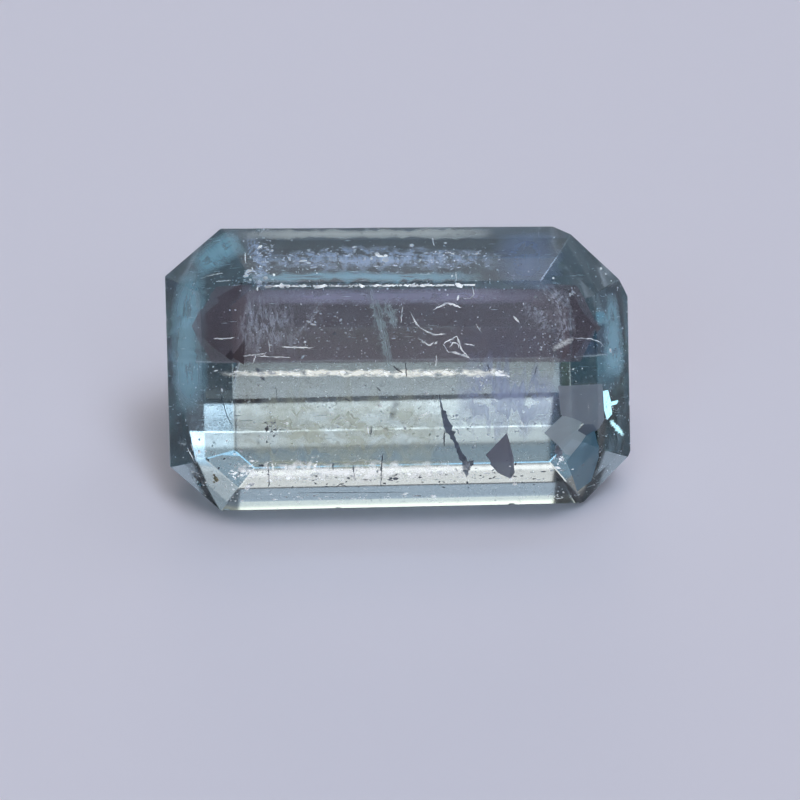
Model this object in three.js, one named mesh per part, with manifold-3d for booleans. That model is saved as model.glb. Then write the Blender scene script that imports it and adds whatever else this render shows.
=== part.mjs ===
// A loose beryl crystal, cut as an octagonal step cut and lying on one facet of its underside.
// Millimetres, +Z up, +X along the stone. The origin is at the centre of its footprint, on the ground.
//
// The stone is first built in its own cutting frame, with the girdle level and the table on top.
// As on a cutter's wheel, every facet is a plane that takes off all that lies beyond it. Above and
// below each of the girdle's eight sides a column of facets steps inwards, up to the table and down
// to the keel line. Then every edge is worn to a narrow bevel, nicks and pits are broken out of the
// surface, and the stone is laid down on the facet on which it balances.

import * as THREE from "three";
import { mergeVertices } from "three/addons/utils/BufferGeometryUtils.js";
import Module from "manifold-3d";

// Girdle, the widest part: its eight sides, counter-clockwise from the right end. Each is a straight
// line in plan that faces turn degrees from +X, reach away from the middle. Hand cutting has left
// them a little uneven.
const GIRDLE_SIDES = [
  { kind: "rightEnd", turn: 0.4, reach: 7.02 },
  { kind: "rightCorner", turn: 46, reach: 6.82 },
  { kind: "side", turn: 89.2, reach: 4.28 },
  { kind: "leftCorner", turn: 129.3, reach: 6.7 },
  { kind: "leftEnd", turn: 179.8, reach: 6.98 },
  { kind: "leftCorner", turn: 227.3, reach: 6.84 },
  { kind: "side", turn: 270, reach: 4.24 },
  { kind: "rightCorner", turn: 315, reach: 6.99 },
];
const BACK = 2; // the long sides, by their place in the list
const FRONT = 6;
const GIRDLE_HEIGHT = 0.14;

// Crown steps, from the girdle up: how far the long sides draw in, and how high the step is
const CROWN_STEPS = [
  { inset: 0.34, height: 0.52 },
  { inset: 0.51, height: 0.68 },
  { inset: 0.68, height: 0.5 },
];
// How far each kind of side draws in on the crown, to the long sides' 1
const CROWN_DRAW = { side: 1, rightEnd: 1.24, leftEnd: 1.36, rightCorner: 1.25, leftCorner: 1.25 };

// Pavilion steps, from the girdle down: how far each kind of side draws in, and the long sides' slope in degrees
const PAVILION_STEPS = [
  { inset: { side: 2.25, rightEnd: 0.6, leftEnd: 0.9, rightCorner: 1.9, leftCorner: 1.8 }, slope: 51 },
  { inset: { side: 0.94, rightEnd: 0.4, leftEnd: 0.45, rightCorner: 0.78, leftCorner: 0.72 }, slope: 48.5 },
];
const KEEL_SLOPE = 43; // the last step's long facets run to the keel line
const KEEL_ENDS = { right: 5.2, left: -4.95 };

const REST_STEP = 0; // the pavilion step, counted from the girdle, on which the stone balances
const EDGE_WEAR = 0.02; // width that wear has taken off each facet along its edges

// Nicks and pits broken out of the surface: a point in the cutting frame, and the radius
const NICKS = [
  { at: [-5.3, -4.24, 0.0], radius: 0.13 },
  { at: [-1.9, -4.25, 0.05], radius: 0.09 },
  { at: [3.4, -4.22, -0.02], radius: 0.11 },
  { at: [5.2, -4.2, 0.03], radius: 0.08 },
  { at: [-4.1, 4.25, 0.05], radius: 0.09 },
  { at: [2.2, 4.27, 0.0], radius: 0.08 },
  { at: [-6.97, 1.7, 0.04], radius: 0.1 },
  { at: [7.02, -1.2, 0.0], radius: 0.11 },
  { at: [-6.1, -3.38, 0.4], radius: 0.12 },
  { at: [6.55, -3.3, 0.02], radius: 0.1 },
];

// Small chips along the table's back edge, which has seen the most wear: place along X, and the radius
const TABLE_EDGE_CHIPS = [
  { x: -3.86, radius: 0.05 },
  { x: -3.41, radius: 0.035 },
  { x: -2.97, radius: 0.06 },
  { x: -2.38, radius: 0.04 },
  { x: -1.72, radius: 0.055 },
  { x: -1.2, radius: 0.035 },
  { x: -0.46, radius: 0.05 },
  { x: 0.31, radius: 0.04 },
  { x: 0.93, radius: 0.06 },
  { x: 1.74, radius: 0.045 },
  { x: 2.6, radius: 0.05 },
  { x: 3.7, radius: 0.04 },
];

const UP = new THREE.Vector3(0, 0, 1);
const SAME_POINT = 1e-6;
const halfGirdle = GIRDLE_HEIGHT / 2;
const radians = THREE.MathUtils.degToRad;

// The point where three planes meet.
function meet(a, b, c) {
  const bc = b.normal.clone().cross(c.normal);
  const ca = c.normal.clone().cross(a.normal);
  const ab = a.normal.clone().cross(b.normal);
  const sum = bc.multiplyScalar(-a.constant);
  sum.addScaledVector(ca, -b.constant).addScaledVector(ab, -c.constant);
  return sum.divideScalar(a.normal.dot(b.normal.clone().cross(c.normal)));
}

// The direction that a side of the girdle faces, in plan.
function facing({ turn }) {
  return new THREE.Vector3(Math.cos(radians(turn)), Math.sin(radians(turn)), 0);
}

// A point on a side's line at one level: the girdle's line, drawn in by that level's inset.
function linePoint(side, { inset, z }) {
  return facing(side).multiplyScalar(side.reach - inset[side.kind]).setZ(z);
}

// The plane of a side's facet that runs along the side's direction, from an upper point to a lower one.
function facetPlane(side, upper, lower) {
  const along = UP.clone().cross(facing(side));
  const normal = lower.clone().sub(upper).cross(along).normalize();
  return new THREE.Plane().setFromNormalAndCoplanarPoint(normal, upper);
}

// The crown's levels, from the table down to the top of the girdle.
function crownLevels() {
  let inset = 0;
  let z = halfGirdle;
  const levels = [];
  for (const step of [{ inset: 0, height: 0 }, ...CROWN_STEPS]) {
    inset += step.inset;
    z += step.height;
    const drawn = Object.entries(CROWN_DRAW).map(([kind, draw]) => [kind, draw * inset]);
    levels.unshift({ inset: Object.fromEntries(drawn), z });
  }
  return levels;
}

// The pavilion's levels, from the bottom of the girdle down to the last one above the keel.
function pavilionLevels() {
  let inset = { side: 0, rightEnd: 0, leftEnd: 0, rightCorner: 0, leftCorner: 0 };
  let z = -halfGirdle;
  const levels = [{ inset, z }];
  for (const step of PAVILION_STEPS) {
    const drawn = Object.entries(step.inset).map(([kind, width]) => [kind, inset[kind] + width]);
    inset = Object.fromEntries(drawn);
    z -= step.inset.side * Math.tan(radians(step.slope));
    levels.push({ inset, z });
  }
  return levels;
}

// The planes of the last step: two long facets that meet at the keel line, and on each end the
// facets that run down to the keel's tip.
function keelPlanes(lowest) {
  const slope = radians(KEEL_SLOPE);
  const long = new Map();
  for (const place of [BACK, FRONT]) {
    const side = GIRDLE_SIDES[place];
    const normal = facing(side).multiplyScalar(Math.sin(slope)).setZ(-Math.cos(slope));
    long.set(side, new THREE.Plane().setFromNormalAndCoplanarPoint(normal, linePoint(side, lowest)));
  }
  const [back, front] = long.values();
  const tipAt = (x) => meet(front, back, new THREE.Plane(new THREE.Vector3(1, 0, 0), -x));
  const tips = { right: tipAt(KEEL_ENDS.right), left: tipAt(KEEL_ENDS.left) };
  return GIRDLE_SIDES.map((side) => {
    if (long.has(side)) return long.get(side);
    const tip = side.kind.startsWith("right") ? tips.right : tips.left;
    return facetPlane(side, linePoint(side, lowest), tip);
  });
}

// Every facet's plane: the table, and for each side its column from the crown down to the keel.
function cutPlanes() {
  const levels = [...crownLevels(), ...pavilionLevels()];
  const planes = [new THREE.Plane(UP.clone(), -levels[0].z)];
  for (let i = 0; i + 1 < levels.length; i += 1) {
    for (const side of GIRDLE_SIDES) {
      planes.push(facetPlane(side, linePoint(side, levels[i]), linePoint(side, levels[i + 1])));
    }
  }
  return [...planes, ...keelPlanes(levels[levels.length - 1])];
}

// The part of a polygon that lies behind a plane.
function cutAway(polygon, plane) {
  return polygon.flatMap((corner, i) => {
    const next = polygon[(i + 1) % polygon.length];
    const here = plane.distanceToPoint(corner);
    const there = plane.distanceToPoint(next);
    const kept = here <= 0 ? [corner] : [];
    if (here > 0 === there > 0) return kept;
    return [...kept, corner.clone().lerp(next, here / (here - there))];
  });
}

// The sharp stone: its corner points, and its facets as rings of point numbers, counter-clockwise
// as seen from outside. Each facet starts as a large square on its plane, which the others cut.
function sharpStone() {
  const planes = cutPlanes();
  const large = 4 * GIRDLE_SIDES[0].reach;
  const points = [];
  const facets = [];
  const numberOf = (point) => {
    const known = points.findIndex((other) => other.distanceTo(point) < SAME_POINT);
    return known < 0 ? points.push(point) - 1 : known;
  };
  for (const plane of planes) {
    const turn = new THREE.Quaternion().setFromUnitVectors(UP, plane.normal);
    const centre = plane.coplanarPoint(new THREE.Vector3());
    let polygon = [[-1, -1], [1, -1], [1, 1], [-1, 1]].map(([x, y]) =>
      new THREE.Vector3(x * large, y * large, 0).applyQuaternion(turn).add(centre),
    );
    for (const other of planes) {
      if (other !== plane) polygon = cutAway(polygon, other);
    }
    const ring = polygon.map(numberOf);
    const facet = ring.filter((point, i) => point !== ring[(i + 1) % ring.length]);
    if (facet.length > 2) facets.push(facet);
  }
  return { points, facets };
}

// A facet's corners, each moved inwards in the facet's plane so that every side has moved by width.
function insetFacet(corners, width) {
  const count = corners.length;
  const normal = new THREE.Vector3();
  corners.forEach((corner, i) => normal.add(corner.clone().cross(corners[(i + 1) % count])));
  normal.normalize();
  const inwards = corners.map((corner, i) =>
    normal.clone().cross(corners[(i + 1) % count].clone().sub(corner)).normalize(),
  );
  return corners.map((corner, i) => {
    const before = inwards[(i + count - 1) % count];
    const after = inwards[i];
    const shift = before.clone().add(after).multiplyScalar(width / (1 + before.dot(after)));
    return corner.clone().add(shift);
  });
}

// The stone with worn edges: each facet a little smaller, a narrow strip where each edge was,
// and a small polygon where each corner was.
function wornStone({ points, facets }, width) {
  const inset = facets.map((facet) => insetFacet(facet.map((point) => points[point]), width));
  const owner = new Map(); // directed edge to its facet and its place in the facet
  facets.forEach((facet, f) => {
    facet.forEach((from, i) => owner.set(`${from}:${facet[(i + 1) % facet.length]}`, { f, i }));
  });

  const polygons = [...inset];
  for (const [edge, { f, i }] of owner) {
    const [from, to] = edge.split(":").map(Number);
    if (from > to) continue;
    const across = owner.get(`${to}:${from}`);
    const own = inset[f];
    const other = inset[across.f];
    const ownStrip = [own[(i + 1) % own.length], own[i]];
    polygons.push([...ownStrip, other[(across.i + 1) % other.length], other[across.i]]);
  }
  points.forEach((_, point) => {
    const first = facets.findIndex((facet) => facet.includes(point));
    const corner = [];
    let f = first;
    do {
      const i = facets[f].indexOf(point);
      corner.push(inset[f][i]);
      const previous = facets[f][(i + facets[f].length - 1) % facets[f].length];
      f = owner.get(`${point}:${previous}`).f;
    } while (f !== first);
    polygons.push(corner);
  });

  const position = polygons.flatMap((polygon) =>
    polygon.slice(2).flatMap((corner, i) =>
      [polygon[0], polygon[i + 1], corner].flatMap((point) => point.toArray()),
    ),
  );
  return new THREE.BufferGeometry().setAttribute("position", new THREE.Float32BufferAttribute(position, 3));
}

const wasm = await Module();
wasm.setup();

function solidOf(geometry) {
  const bare = geometry.clone();
  bare.deleteAttribute("normal");
  bare.deleteAttribute("uv");
  const merged = mergeVertices(bare, 1e-5);
  return new wasm.Manifold(
    new wasm.Mesh({
      numProp: 3,
      vertProperties: merged.attributes.position.array,
      triVerts: new Uint32Array(merged.index.array),
    }),
  );
}

function geometryOf(solid) {
  const { vertProperties, triVerts } = solid.getMesh();
  const indexed = new THREE.BufferGeometry();
  indexed.setAttribute("position", new THREE.BufferAttribute(vertProperties, 3));
  indexed.setIndex(new THREE.BufferAttribute(triVerts, 1));
  const flat = indexed.toNonIndexed();
  flat.computeVertexNormals();
  return flat;
}

let stone = solidOf(wornStone(sharpStone(), EDGE_WEAR));
for (const { at, radius } of NICKS) {
  stone = stone.subtract(solidOf(new THREE.IcosahedronGeometry(radius, 1).translate(...at)));
}
const tableEdge = linePoint(GIRDLE_SIDES[BACK], crownLevels()[0]);
const alongTable = facing(GIRDLE_SIDES[BACK]).cross(UP);
for (const { x, radius } of TABLE_EDGE_CHIPS) {
  const { x: px, y: py, z: pz } = tableEdge.clone().addScaledVector(alongTable, x);
  stone = stone.subtract(solidOf(new THREE.IcosahedronGeometry(radius, 0).translate(px, py, pz)));
}

const beryl = new THREE.MeshStandardMaterial({
  color: 0xb5d6da,
  roughness: 0.08,
  metalness: 0,
  transparent: true,
  opacity: 0.6,
});
const crystal = new THREE.Mesh(geometryOf(stone), beryl);
crystal.name = "crystal";

// Laid down: turned until the facet that it rests on faces the ground, then set on it and centred.
crystal.rotation.x = radians(PAVILION_STEPS[REST_STEP].slope);
const box = new THREE.Box3().setFromObject(crystal, true);
const middle = box.getCenter(new THREE.Vector3());
crystal.position.set(-middle.x, -middle.y, -box.min.z);

const part = new THREE.Group();
part.add(crystal);

export default part;
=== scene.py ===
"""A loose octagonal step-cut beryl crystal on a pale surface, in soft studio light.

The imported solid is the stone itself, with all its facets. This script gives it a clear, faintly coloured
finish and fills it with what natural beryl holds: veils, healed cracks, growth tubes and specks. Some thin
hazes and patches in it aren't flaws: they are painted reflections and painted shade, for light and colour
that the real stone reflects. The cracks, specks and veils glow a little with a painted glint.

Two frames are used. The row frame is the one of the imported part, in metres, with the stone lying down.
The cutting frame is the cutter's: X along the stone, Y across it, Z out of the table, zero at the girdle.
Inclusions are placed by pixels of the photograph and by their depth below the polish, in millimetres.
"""

import math

import bpy
import numpy as np
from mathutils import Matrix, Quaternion, Vector
from mathutils.bvhtree import BVHTree


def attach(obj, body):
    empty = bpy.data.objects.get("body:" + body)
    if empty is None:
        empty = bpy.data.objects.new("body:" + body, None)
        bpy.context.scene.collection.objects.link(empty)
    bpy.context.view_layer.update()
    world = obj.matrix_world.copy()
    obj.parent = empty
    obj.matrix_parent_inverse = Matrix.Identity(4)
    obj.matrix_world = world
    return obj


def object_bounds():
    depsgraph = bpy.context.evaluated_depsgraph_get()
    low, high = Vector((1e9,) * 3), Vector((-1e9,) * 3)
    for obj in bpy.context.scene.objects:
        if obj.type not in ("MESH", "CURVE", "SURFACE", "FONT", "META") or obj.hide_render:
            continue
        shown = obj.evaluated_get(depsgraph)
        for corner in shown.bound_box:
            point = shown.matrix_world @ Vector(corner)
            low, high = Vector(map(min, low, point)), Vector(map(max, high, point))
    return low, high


MM = 0.001

# Photograph, in pixels
PHOTO_SIZE = 800
PHOTO_MIDDLE = PHOTO_SIZE / 2
STONE_LENGTH_PX = 461.0  # the girdle, end to end
STONE_CENTRE_PX = (398.3, 366.6)

# Stone, as it is cut
LENGTH = 14.0 * MM
REST_SLOPE = math.radians(51)  # slope of the facet that it lies on
CROWN_RISE = 1.77 * MM  # table above the middle of the girdle
BERYL_IOR = 1.577
PIXEL = LENGTH / STONE_LENGTH_PX  # one pixel of the photograph, on the stone

# Camera
CAMERA_ELEVATION = math.radians(45.6)
CAMERA_ROLL = math.radians(-1.2)
LENS = 120.0
SENSOR = 36.0
FOCAL_PX = LENS / SENSOR * PHOTO_SIZE  # focal length, in pixels of the photograph
CLIP_NEAR = 0.05  # clip distances, as shares of the camera's own distance
CLIP_FAR = 50

# Inclusions
SKIN = 0.03 * MM  # everything stays at least this far inside the facets
RIM = 0.01 * MM  # and no corner of theirs comes nearer than this
FLAT_FACET = 0.002 * MM  # a facet counts as a main one if no corner stands out of it by more
TINY = 1e-12  # keeps a division away from zero
OVERDRAW = 4  # random points drawn for each one that is wanted

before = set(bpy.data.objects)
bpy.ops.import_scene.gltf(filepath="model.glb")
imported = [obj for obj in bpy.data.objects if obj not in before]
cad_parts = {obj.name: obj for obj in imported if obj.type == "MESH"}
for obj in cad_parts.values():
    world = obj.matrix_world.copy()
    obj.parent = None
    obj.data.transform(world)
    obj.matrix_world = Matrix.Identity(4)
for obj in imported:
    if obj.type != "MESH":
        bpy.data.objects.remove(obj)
cad_low, cad_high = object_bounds()
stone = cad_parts["crystal"]


def stone_corners():
    """The solid's vertices in the row frame, one per row."""
    points = np.empty(len(stone.data.vertices) * 3, dtype=np.float32)
    stone.data.vertices.foreach_get("co", points)
    return points.reshape(-1, 3).astype(float)


def cutting_axes():
    """The cutting frame's X, Y and Z in the row frame: the stone is turned about X by its rest slope."""
    cos, sin = math.cos(REST_SLOPE), math.sin(REST_SLOPE)
    return np.array([[1.0, 0.0, 0.0], [0.0, cos, sin], [0.0, -sin, cos]])


def girdle_centre(axes):
    """The cutting frame's origin: midway between the girdle's sides, and a crown's rise below the table."""
    cut = stone_corners() @ axes.T
    low, high = cut.min(axis=0), cut.max(axis=0)
    centre = (low + high) / 2
    centre[2] = high[2] - CROWN_RISE
    return centre @ axes


AXES = cutting_axes()
CENTRE = girdle_centre(AXES)
ALONG = AXES[0]


def make_camera():
    """A long lens that puts the girdle's centre, and its length, where the photograph has them."""
    distance = FOCAL_PX * LENGTH / STONE_LENGTH_PX
    back = Vector((0.0, -math.cos(CAMERA_ELEVATION), math.sin(CAMERA_ELEVATION)))
    data = bpy.data.cameras.new("camera")
    data.lens = LENS
    data.sensor_width = SENSOR
    data.clip_start = distance * CLIP_NEAR
    data.clip_end = distance * CLIP_FAR
    camera = bpy.data.objects.new("camera", data)
    bpy.context.scene.collection.objects.link(camera)
    camera.rotation_mode = "QUATERNION"
    turn = (-back).to_track_quat("-Z", "Y") @ Quaternion((0.0, 0.0, 1.0), CAMERA_ROLL)
    camera.rotation_quaternion = turn
    offset = Vector(
        (
            (STONE_CENTRE_PX[0] - PHOTO_MIDDLE) / FOCAL_PX * distance,
            -(STONE_CENTRE_PX[1] - PHOTO_MIDDLE) / FOCAL_PX * distance,
            0.0,
        )
    )
    camera.location = Vector(CENTRE) + back * distance - turn @ offset
    bpy.context.scene.camera = camera
    return camera


camera = make_camera()


# Placing things inside the stone

def unit(vectors):
    """Vectors scaled to length one."""
    return vectors / np.linalg.norm(vectors, axis=-1, keepdims=True)


def camera_rays(pixels):
    """The camera's rays through pixels of the photograph, as unit rows.

    In the lens a ray is (x, y, -1), x and y in focal lengths. It is then turned as the camera is.
    """
    flat = np.column_stack(
        [
            (pixels[:, 0] - PHOTO_MIDDLE) / FOCAL_PX,
            (PHOTO_MIDDLE - pixels[:, 1]) / FOCAL_PX,
            -np.ones(len(pixels)),
        ]
    )
    turn = np.array(camera.rotation_quaternion.to_matrix())
    return unit(flat @ turn.T)


def main_facets():
    """Outward normals and offsets of the facets that no corner of the solid stands out of."""
    corners = stone_corners()
    mesh = stone.data
    normals = np.empty(len(mesh.polygons) * 3, dtype=np.float32)
    centres = np.empty(len(mesh.polygons) * 3, dtype=np.float32)
    mesh.polygons.foreach_get("normal", normals)
    mesh.polygons.foreach_get("center", centres)
    normals = normals.reshape(-1, 3).astype(float)
    offsets = (normals * centres.reshape(-1, 3)).sum(axis=1)
    standing = (corners @ normals.T - offsets).max(axis=0)
    whole = standing < FLAT_FACET
    return normals[whole], offsets[whole]


NORMALS, OFFSETS = main_facets()
MIDDLE = (np.array(cad_low) + np.array(cad_high)) / 2
TREE = BVHTree.FromPolygons(
    [tuple(corner) for corner in stone_corners()],
    [tuple(polygon.vertices) for polygon in stone.data.polygons],
)


def pull_in(points, margin=SKIN):
    """Moves points towards the stone's middle until they lie inside every main facet by the margin.

    A point keeps the share (offset - margin - n.middle) / n.(point - middle) of its way out, at most all of
    it, for the facet that allows it least.
    """
    way = points - MIDDLE
    room = OFFSETS - margin - NORMALS @ MIDDLE
    reach = np.maximum(way @ NORMALS.T, TINY)
    share = np.minimum((room / reach).min(axis=-1), 1.0)
    return MIDDLE + way * share[..., None]


def below_polish(pixels, depths):
    """Points that the camera sees at some pixels, so many millimetres down their rays inside the stone.

    The facet is the one that the mean ray meets. Each ray meets its plane and bends by Snell's law,
    t = r i + (r c - sqrt(1 - r^2 (1 - c^2))) n, with r the ratio of the indices and c = -i.n.
    """
    pixels = np.atleast_2d(np.asarray(pixels, dtype=float))
    rays = camera_rays(pixels)
    eye = np.array(camera.location)
    middle_ray = unit(rays.mean(axis=0))
    place, normal, _, _ = TREE.ray_cast(Vector(eye), Vector(middle_ray))
    place, normal = np.array(place), np.array(normal)
    entry = eye + rays * (((place - eye) @ normal) / (rays @ normal))[:, None]
    cosine = -(rays @ normal)
    ratio = 1 / BERYL_IOR
    sink = ratio * cosine - np.sqrt(1 - ratio**2 * (1 - cosine**2))
    bent = ratio * rays + sink[:, None] * normal
    depths = np.broadcast_to(np.asarray(depths, dtype=float) * MM, len(pixels))
    return pull_in(entry + bent * depths[:, None])


def anywhere(count, seed):
    """Points spread evenly through the stone: a box full of random points, less those outside a facet."""
    random = np.random.default_rng(seed)
    low, high = np.array(cad_low), np.array(cad_high)
    points = low + random.random((count * OVERDRAW, 3)) * (high - low)
    inside = ((points @ NORMALS.T) < OFFSETS - SKIN).all(axis=1)
    return points[inside][:count]


def cloud(pixel, spread, count, depth, seed):
    """Points of a cloud of specks around a pixel.

    Its spread across is a normal one. Its depths run evenly from half of the given one to one and a half.
    """
    random = np.random.default_rng(seed)
    pixels = np.array(pixel) + random.normal(size=(count, 2)) * np.array(spread)
    depths = depth * random.uniform(0.5, 1.5, count)
    return below_polish(pixels, depths)


# Materials

VEIL_CLEAR = -0.08  # a veil is clear where its noise is this far from its gap
VEIL_FULL = 0.12  # and has its full cover from here on
DARKER = 0.6  # shades of a foreign grain, as shares of its colour
LIGHTER = 1.5


def new_material(name):
    """A material with a Principled shader: the material, its nodes, its links, the shader, its output."""
    material = bpy.data.materials.new(name)
    material.use_nodes = True
    nodes, links = material.node_tree.nodes, material.node_tree.links
    nodes.clear()
    output = nodes.new("ShaderNodeOutputMaterial")
    shader = nodes.new("ShaderNodeBsdfPrincipled")
    links.new(shader.outputs["BSDF"], output.inputs["Surface"])
    return material, nodes, links, shader, output


def noise_in_space(nodes, links, spots):
    """The value of a noise on the piece's own coordinates, with so many spots to a metre."""
    place = nodes.new("ShaderNodeTexCoord")
    noise = nodes.new("ShaderNodeTexNoise")
    noise.inputs["Scale"].default_value = spots
    links.new(place.outputs["Object"], noise.inputs["Vector"])
    return noise.outputs["Fac"]


def add_bump(nodes, links, shader, height, strength, distance):
    """Makes a height into a bump of the shader's surface, distance in metres."""
    bump = nodes.new("ShaderNodeBump")
    bump.inputs["Strength"].default_value = strength
    bump.inputs["Distance"].default_value = distance
    links.new(height, bump.inputs["Height"])
    links.new(bump.outputs["Normal"], shader.inputs["Normal"])


def beryl_material():
    """Clear beryl with a faint blue-green absorption, and the slight waves that hand polishing leaves."""
    material, nodes, links, shader, output = new_material("beryl")
    shader.inputs["Base Color"].default_value = (1.0, 1.0, 1.0, 1.0)
    shader.inputs["Roughness"].default_value = 0.08
    shader.inputs["IOR"].default_value = BERYL_IOR
    shader.inputs["Transmission Weight"].default_value = 1.0
    absorption = nodes.new("ShaderNodeVolumeAbsorption")
    absorption.inputs["Color"].default_value = (0.18, 0.45, 0.50, 1.0)
    absorption.inputs["Density"].default_value = 120.0
    links.new(absorption.outputs["Volume"], output.inputs["Volume"])
    place = nodes.new("ShaderNodeTexCoord")
    stretch = nodes.new("ShaderNodeMapping")
    stretch.inputs["Scale"].default_value = (0.35, 1.0, 1.0)
    links.new(place.outputs["Object"], stretch.inputs["Vector"])
    waves = nodes.new("ShaderNodeTexNoise")
    waves.inputs["Scale"].default_value = 1400.0
    waves.inputs["Detail"].default_value = 2.0
    links.new(stretch.outputs["Vector"], waves.inputs["Vector"])
    add_bump(nodes, links, shader, waves.outputs["Fac"], 0.08, 0.01 * MM)
    return material


def flake_material():
    """A flat gas-filled crack: it reflects like a little mirror."""
    material, nodes, links, shader, _ = new_material("bright_flake")
    shader.inputs["Base Color"].default_value = (0.95, 0.97, 1.0, 1.0)
    shader.inputs["Metallic"].default_value = 1.0
    rough = nodes.new("ShaderNodeMapRange")
    rough.inputs["To Min"].default_value = 0.1
    rough.inputs["To Max"].default_value = 0.6
    links.new(noise_in_space(nodes, links, 9000.0), rough.inputs["Value"])
    links.new(rough.outputs["Result"], shader.inputs["Roughness"])
    return material


def thread_material(name, colour, dim, bright):
    """A healed crack seen edge on: a matt body with a painted glint in patches.

    Its painted glint, an emission, stands for the light that thousands of unresolved droplets throw back,
    and runs with a noise from dim to bright.
    """
    material, nodes, links, shader, _ = new_material(name)
    shader.inputs["Base Color"].default_value = (*colour, 1.0)
    shader.inputs["Roughness"].default_value = 0.35
    # Emission: a painted glint, so the crack glows though it is no lamp.
    shader.inputs["Emission Color"].default_value = (*colour, 1.0)
    painted_glint = nodes.new("ShaderNodeMapRange")
    painted_glint.inputs["From Min"].default_value = 0.4
    painted_glint.inputs["From Max"].default_value = 0.62
    painted_glint.inputs["To Min"].default_value = dim
    painted_glint.inputs["To Max"].default_value = bright
    links.new(noise_in_space(nodes, links, 3500.0), painted_glint.inputs["Value"])
    links.new(painted_glint.outputs["Result"], shader.inputs["Emission Strength"])
    return material


def veil_material(name, colour, cover, grain, gap=0.5, painted_glint=0.0):
    """A sheet of tiny droplets. The same sheet also makes painted reflections and painted shade.

    Its opacity is a noise on the sheet's own UV map, cut off near gap, times cover and the attribute fade,
    which thins a soft sheet out towards its rim. grain is how many spots lie along and across the sheet.
    Its emission strength is a painted glint.
    """
    material, nodes, links, shader, _ = new_material(name)
    shader.inputs["Base Color"].default_value = (*colour, 1.0)
    shader.inputs["Roughness"].default_value = 0.35
    shader.inputs["Emission Color"].default_value = (*colour, 1.0)
    # Emission: a painted glint, so the sheet glows though it is no lamp.
    shader.inputs["Emission Strength"].default_value = painted_glint
    uv = nodes.new("ShaderNodeUVMap")
    uv.uv_map = "sheet"
    scale = nodes.new("ShaderNodeMapping")
    scale.inputs["Scale"].default_value = (grain[0], grain[1], 1.0)
    links.new(uv.outputs["UV"], scale.inputs["Vector"])
    noise = nodes.new("ShaderNodeTexNoise")
    noise.inputs["Scale"].default_value = 1.0
    noise.inputs["Detail"].default_value = 3.0
    noise.inputs["Roughness"].default_value = 0.65
    links.new(scale.outputs["Vector"], noise.inputs["Vector"])
    cut = nodes.new("ShaderNodeMapRange")
    cut.inputs["From Min"].default_value = gap + VEIL_CLEAR
    cut.inputs["From Max"].default_value = gap + VEIL_FULL
    cut.inputs["To Max"].default_value = cover
    links.new(noise.outputs["Fac"], cut.inputs["Value"])
    fade = nodes.new("ShaderNodeAttribute")
    fade.attribute_name = "fade"
    opacity = nodes.new("ShaderNodeMath")
    opacity.operation = "MULTIPLY"
    links.new(cut.outputs["Result"], opacity.inputs[0])
    links.new(fade.outputs["Fac"], opacity.inputs[1])
    links.new(opacity.outputs["Value"], shader.inputs["Alpha"])
    return material


def plain_material(name, colour, roughness):
    """Solid foreign matter: its colour varies a little from grain to grain."""
    material, nodes, links, shader, _ = new_material(name)
    shader.inputs["Roughness"].default_value = roughness
    mix = nodes.new("ShaderNodeMix")
    mix.data_type = "RGBA"
    mix.inputs["A"].default_value = (*[part * DARKER for part in colour], 1.0)
    mix.inputs["B"].default_value = (*[min(part * LIGHTER, 1.0) for part in colour], 1.0)
    links.new(noise_in_space(nodes, links, 6000.0), mix.inputs["Factor"])
    links.new(mix.outputs["Result"], shader.inputs["Base Color"])
    return material


def paper_material():
    """Matt pale lavender-grey paper with a faint tooth."""
    material, nodes, links, shader, _ = new_material("pale_paper")
    shader.inputs["Base Color"].default_value = (0.84, 0.78, 0.82, 1.0)
    shader.inputs["Roughness"].default_value = 0.9
    add_bump(nodes, links, shader, noise_in_space(nodes, links, 900.0), 0.2, 0.05 * MM)
    return material


FLAKE = flake_material()
# White, pale and teal cracks, specks and tubes glow with a painted glint. The white one also makes the
# painted highlights on the streak, band, rim and worn edge.
WHITE_AND_PAINTED_GLINT = thread_material("white_crack_and_painted_glint", (0.93, 0.96, 1.0), 0.05, 0.8)
PALE = thread_material("pale_crack", (0.84, 0.90, 1.0), 0.02, 0.3)
TEAL_WHITE = thread_material("growth_tube", (0.74, 0.86, 0.92), 0.0, 0.2)
DARK = plain_material("dark_speck", (0.10, 0.12, 0.16), 0.4)
BLACK = plain_material("black_grain", (0.02, 0.02, 0.025), 0.5)
RUST = plain_material("rusty_stain", (0.42, 0.34, 0.16), 0.7)


# Pieces

FLAKE_CORNERS = 5
FLAKE_SIZES = 0.45  # spread of the logarithm of a flake's size
NEEDLE_CORNERS = 3
NEEDLE_LENGTHS = 0.5  # spread of the logarithm of a needle's length
NEEDLE_LEAN = 0.04  # spread of a needle's direction, in each axis
THREAD_STEPS = 18
THREAD_SECTION = 4
THREAD_LEAN = 0.75  # a bright line looks wider in the photograph than it is
THREAD_WANDER = 0.25  # pixels by which a thread strays from its route
THREAD_FLATNESS = 0.6  # a thread's thickness, as a share of its width
SHEET_ROWS = 40
SHEET_COLUMNS = 12
VEIL_THICKNESS = 0.008 * MM


def add_piece(name, points, faces, material):
    """A mesh with its place in its points. What would stand out of a facet is drawn back inside."""
    mesh = bpy.data.meshes.new(name)
    mesh.from_pydata(pull_in(points, margin=RIM).tolist(), [], faces)
    mesh.materials.append(material)
    piece = bpy.data.objects.new(name, mesh)
    bpy.context.scene.collection.objects.link(piece)
    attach(piece, "root")
    return piece


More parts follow.
